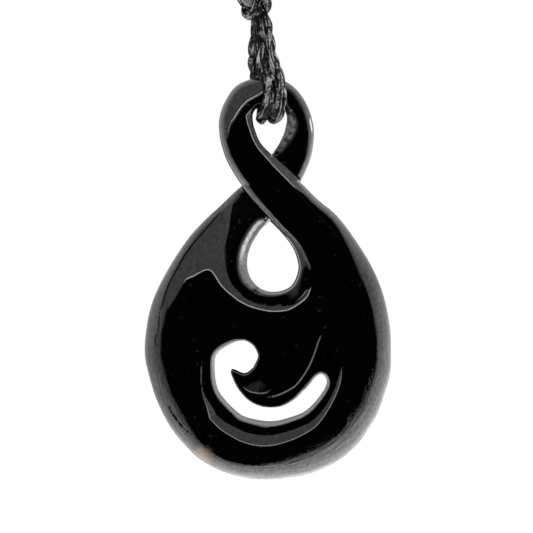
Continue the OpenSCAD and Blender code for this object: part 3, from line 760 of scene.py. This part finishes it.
def laid_strands():
    """A group that lays a number of strands round each line it is given."""
    bench = Bench(bpy.data.node_groups.new("laid_strands", "GeometryNodeTree"))
    given = inlets(bench, ("Lines", "Geometry", None), ("Strands", "Int", 3),
                   ("Off Middle", "Float", 0.0003), ("Lay", "Float", 0.005),
                   ("Start Turn", "Float", 0.0), ("Wander", "Float", 0.00003))

    def vector(kind, first, second):
        """One sum over two vectors, or over a vector and its size."""
        fed = {0: first, ("Scale" if kind == "SCALE" else 1): second}
        return bench.node("ShaderNodeVectorMath", fed, operation=kind).outputs[0]

    copies = bench.node("GeometryNodeDuplicateElements",
                        {"Geometry": given["Lines"], "Amount": given["Strands"]}, domain="SPLINE")
    strand = copies.outputs["Duplicate Index"]
    along = bench.node("GeometryNodeSplineParameter").outputs["Length"]
    turns = bench.sum("ADD", bench.sum("DIVIDE", along, given["Lay"]),
                      bench.sum("DIVIDE", strand, given["Strands"]))
    angle = bench.times(bench.sum("ADD", turns, given["Start Turn"]), 2 * math.pi)
    normal = bench.node("GeometryNodeInputNormal").outputs[0]
    tangent = bench.node("GeometryNodeInputTangent").outputs[0]
    sideways, forward = (
        vector("SCALE", way, bench.times(bench.sum(kind, angle), given["Off Middle"]))
        for kind, way in (("COSINE", normal), ("SINE", vector("CROSS_PRODUCT", tangent, normal))))
    # each strand strays a little, in a way of its own
    place = bench.node("GeometryNodeInputPosition").outputs[0]
    drift = bench.node("ShaderNodeTexNoise", {"Vector": place, "W": bench.times(strand, 3.7), "Scale": 900},
                       noise_dimensions="4D")
    stray = vector("SCALE", vector("SUBTRACT", drift.outputs["Color"], (0.5, 0.5, 0.5)), given["Wander"])
    moved = bench.node("GeometryNodeSetPosition", {
        "Geometry": copies.outputs["Geometry"],
        "Offset": vector("ADD", vector("ADD", sideways, forward), stray)})
    bench.node("NodeGroupOutput", {"Made": moved.outputs[0]})
    bench.spread()
    return bench.tree


def cord_maker(strands):
    """The tree that turns a cord's route into plies of fibres, with its sizes as inputs."""
    bench = Bench(bpy.data.node_groups.new("cord_maker", "GeometryNodeTree"))
    given = inlets(
        bench, ("Route", "Geometry", None), ("Yarns", "Int", 1), ("Yarn Off Middle", "Float", 0.0),
        ("Yarn Lay", "Float", 0.011), ("Yarn Turn", "Float", 0.0), ("Plies", "Int", 3),
        ("Ply Off Middle", "Float", YARN_PLY), ("Ply Lay", "Float", 0.0068), ("Fibres", "Int", 12),
        ("Fibre Off Middle", "Float", 0.00026), ("Fibre Lay", "Float", -0.0095),
        ("Fibre Radius", "Float", 0.000085), ("Spacing", "Float", 0.0003), ("Sides", "Int", 5),
        ("Wander", "Float", 0.0001), ("Material", "Material", None))
    lines = bench.node("GeometryNodeResampleCurve",
                       {"Curve": given["Route"], "Length": given["Spacing"]}, mode="LENGTH").outputs[0]
    for number, strand, turn, wander in (
            ("Yarns", "Yarn", given["Yarn Turn"], 0.0), ("Plies", "Ply", 0.0, given["Wander"]),
            ("Fibres", "Fibre", 0.0, given["Wander"])):
        lines = bench.node("GeometryNodeGroup", {
            "Lines": lines, "Strands": given[number], "Off Middle": given[strand + " Off Middle"],
            "Lay": given[strand + " Lay"], "Start Turn": turn, "Wander": wander},
            node_tree=strands).outputs[0]
    # each fibre has a shade of its own, and shares some of it with its ply
    fibre = bench.node("GeometryNodeCurveOfPoint").outputs["Curve Index"]
    ply = bench.sum("FLOOR", bench.sum("DIVIDE", fibre, given["Fibres"]))
    shades = [bench.times(bench.node("FunctionNodeRandomValue", {"ID": which, "Seed": seed},
                                     data_type="FLOAT").outputs[1], share)
              for which, seed, share in ((fibre, 7, 0.65), (ply, 3, 0.35))]
    shaded = bench.node("GeometryNodeStoreNamedAttribute", {
        "Geometry": lines, "Name": "fibre", "Value": bench.sum("ADD", *shades)},
        data_type="FLOAT", domain="POINT")
    ring = bench.node("GeometryNodeCurvePrimitiveCircle", {
        "Resolution": given["Sides"], "Radius": given["Fibre Radius"]})
    tube = bench.node("GeometryNodeCurveToMesh", {
        "Curve": shaded.outputs[0], "Profile Curve": ring.outputs[0], "Fill Caps": True})
    whole = bench.node("GeometryNodeRealizeInstances", {0: tube.outputs[0]})
    dressed = bench.node("GeometryNodeSetMaterial", {
        "Geometry": whole.outputs[0], "Material": given["Material"]})
    bench.node("NodeGroupOutput", {"Made": dressed.outputs[0]})
    bench.spread()
    return bench.tree


def laid_cord(name, routes, sizes):
    """A cord along one or more routes, in metres, as a plain mesh."""
    data = bpy.data.curves.new(name, "CURVE")
    data.dimensions = "3D"
    for route in routes:
        run = spline(route, 6)
        line = data.splines.new("POLY")
        line.points.add(len(run) - 1)
        line.points.foreach_set("co", np.hstack([run, np.ones((len(run), 1))]).ravel())
    base = bpy.data.objects.new(name + "_route", data)
    bpy.context.scene.collection.objects.link(base)
    laid = base.modifiers.new("laid", "NODES")
    laid.node_group = CORD_MAKER
    for item in CORD_MAKER.interface.items_tree:
        if item.in_out == "INPUT" and item.name in sizes:
            laid[item.identifier] = sizes[item.name]
    bpy.context.view_layer.update()
    mesh = bpy.data.meshes.new_from_object(base.evaluated_get(bpy.context.evaluated_depsgraph_get()))
    bpy.data.objects.remove(base)
    for polygon in mesh.polygons:
        polygon.use_smooth = True
    cord = bpy.data.objects.new(name, mesh)
    bpy.context.scene.collection.objects.link(cord)
    return cord


def by_the_stone(route):
    """A route in the stone's flat drawing, in metres where the stone stands."""
    return (in_frame(np.array(route)) + STAND) / 1000


# Waxed cotton: charcoal fibres of uneven shade, some bleached grey, under a dull wax
CHARCOAL, BLEACHED, BROWN = (0.002, 0.0018, 0.002), (0.42, 0.41, 0.43), (0.014, 0.008, 0.007)
waxed_cotton = bpy.data.materials.new("waxed_cotton")
waxed_cotton.use_nodes = True
wax = Bench(waxed_cotton.node_tree)
skin = wax.tree.nodes["Principled BSDF"].inputs
where = wax.node("ShaderNodeTexCoord").outputs["Object"]
own_shade = wax.node("ShaderNodeAttribute", attribute_name="fibre").outputs["Fac"]
patch, speck = wax.noise(where, 1000, 3, 0.65), wax.noise(where, 3800, 3, 0.7)
bleach = wax.sum("ADD", wax.times(own_shade, 0.55), wax.times(patch, 0.8))
bleach = wax.step(wax.sum("ADD", bleach, wax.times(speck, 0.6)), 1.0, 1.26)
warm = wax.step(wax.noise(where, 330, 1, 0.5), 0.6, 0.75, 0.0, 0.4)
wax.feed(skin["Base Color"], wax.mix(warm, wax.mix(bleach, CHARCOAL, BLEACHED), BROWN))
wax.feed(skin["Roughness"], wax.step(speck, 0.3, 0.7, 0.38, 0.68))
for name, value in (("Specular IOR Level", 0.1), ("Sheen Weight", 0.02), ("Sheen Roughness", 0.4)):
    skin[name].default_value = value
fuzz = wax.node("ShaderNodeBump", {"Strength": 0.6, "Distance": 0.00004, "Height": speck})
wax.feed(skin["Normal"], fuzz.outputs[0])
wax.spread()

CORD_MAKER = cord_maker(laid_strands())
bail = laid_cord("bail_yarns", [by_the_stone(route) for route in BAIL_ROUTES],
                 {"Ply Off Middle": YARN_PLY, "Material": waxed_cotton})
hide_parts("bail_cord")
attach(bail, "cord")


# The knot: the four cord ends drawn tight into one lump above the stone, the same waxed
# cord wound over and under itself.
KNOT_MIDDLE, KNOT_WIDE, KNOT_THICK = (-1.55, 31.1, 0.0), 1.04, 0.56
KNOT_LEAN = math.radians(28)
KNOT_DEEP, KNOT_FLAT = 1.5, 0.6         # how much deeper than it is thick, and how its lean is flattened
winding = []
for turn in np.linspace(0, 2 * math.pi, 73):
    reach = KNOT_WIDE + KNOT_THICK * math.cos(3 * turn)
    across, up = reach * math.cos(2 * turn), reach * math.sin(2 * turn)
    forward = KNOT_DEEP * KNOT_THICK * math.sin(3 * turn)
    winding.append((
        KNOT_MIDDLE[0] + across * math.cos(KNOT_LEAN) - forward * math.sin(KNOT_LEAN) * KNOT_FLAT,
        KNOT_MIDDLE[1] + up,
        KNOT_MIDDLE[2] + forward * math.cos(KNOT_LEAN) + across * math.sin(KNOT_LEAN)))
knot = laid_cord("knot_yarns", [by_the_stone(winding)],
                 {"Ply Off Middle": KNOT_PLY, "Material": waxed_cotton})
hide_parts("knot")
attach(knot, "cord")


# The neck cord: two yarns laid together, one whole loop from the knot round the neck and
# back into the knot. Its plane falls 40 degrees from the nape to the front.
NECK_HALF = [
    (0, -1.1), (11, 0), (22, 3), (32, 8), (41, 14.5), (49, 23), (55, 33), (59.5, 44), (61.5, 56),
    (61, 68), (58, 80), (52.5, 92), (45, 104), (37, 116), (29, 128), (21, 140), (13, 152),
    (6, 162.5)]
NECK_TILT = math.radians(40)
round_neck = [(-1.3, 170.0), (-0.4, 168.2)] + NECK_HALF[:0:-1] + [(0, -1.1)]
round_neck += [(-x, y) for x, y in NECK_HALF[1:]] + [(-2.7, 168.2), (-1.8, 170.0)]
round_neck = [(x / 1000, -y * math.cos(NECK_TILT) / 1000, -y * math.sin(NECK_TILT) / 1000)
              for x, y in round_neck]
for number in (1, 2):
    yarn = laid_cord("neck_yarn_%d" % number, [round_neck], {
        "Yarn Off Middle": 0.00052, "Yarn Turn": number / 2, "Fibres": 5, "Ply Off Middle": KNOT_PLY,
        "Spacing": 0.00055, "Sides": 4, "Fibre Radius": 0.00012, "Material": waxed_cotton})
    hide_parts("neck_cord")
    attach(yarn, "cord")


# The studio: a plain pale floor well below, and a white room that is dark straight in
# front of the stone and behind it and brightest low on the right.
FLOOR_REACH, FLOOR_SIDES, FLOOR_MIDDLE = 0.65, 48, (-0.1, -0.42)
pale_floor = bpy.data.materials.new("pale_floor")
pale_floor.use_nodes = True
skin = pale_floor.node_tree.nodes["Principled BSDF"].inputs
skin["Base Color"].default_value = (0.3, 0.3, 0.3, 1)
skin["Roughness"].default_value = 0.9
turns = [math.tau * k / FLOOR_SIDES for k in range(FLOOR_SIDES)]
floor_mesh = bpy.data.meshes.new("floor")
floor_mesh.from_pydata(
    [(FLOOR_REACH * math.cos(turn), FLOOR_REACH * math.sin(turn) + FLOOR_MIDDLE[0], FLOOR_MIDDLE[1])
     for turn in turns], [], [tuple(range(FLOOR_SIDES))])
floor_mesh.materials.append(pale_floor)
floor = bpy.data.objects.new("floor", floor_mesh)
bpy.context.scene.collection.objects.link(floor)
floor.visible_glossy = False

DARK_EDGE, LIT_EDGE = math.cos(math.radians(15.0)), math.cos(math.radians(19.5))
LOW_RIGHT, LOW_GLOW, SIDE_GLOW, ROOM_GLOW = (0.35, 0.0, -0.94), 3.0, 0.85, 0.8
world = bpy.data.worlds.new("studio")
bpy.context.scene.world = world
world.use_nodes = True
room = Bench(world.node_tree)
background = room.tree.nodes["Background"].inputs
background["Color"].default_value = (1, 1, 1, 1)
where = room.node("ShaderNodeTexCoord").outputs["Generated"]
ahead = room.sum("ABSOLUTE", room.parts_of(where)["Y"])
low_right = room.node("ShaderNodeVectorMath", {0: where, 1: LOW_RIGHT}, operation="DOT_PRODUCT")
low_glow = room.times(room.sum("MAXIMUM", low_right.outputs["Value"], 0.0), LOW_GLOW)
sideways = room.sum("SUBTRACT", 1.0, room.times(ahead, ahead))
glow = room.sum("ADD", room.sum("ADD", low_glow, room.times(sideways, sideways, SIDE_GLOW)), ROOM_GLOW)
glow = room.times(glow, room.step(ahead, LIT_EDGE, DARK_EDGE, 1.0, 0.0))
seen = room.node("ShaderNodeLightPath").outputs["Is Camera Ray"]
glow = room.times(glow, room.sum("SUBTRACT", 1.0, seen))
room.feed(background["Strength"], room.sum("ADD", glow, seen))
room.spread()
bpy.context.scene.view_settings.view_transform = "Standard"
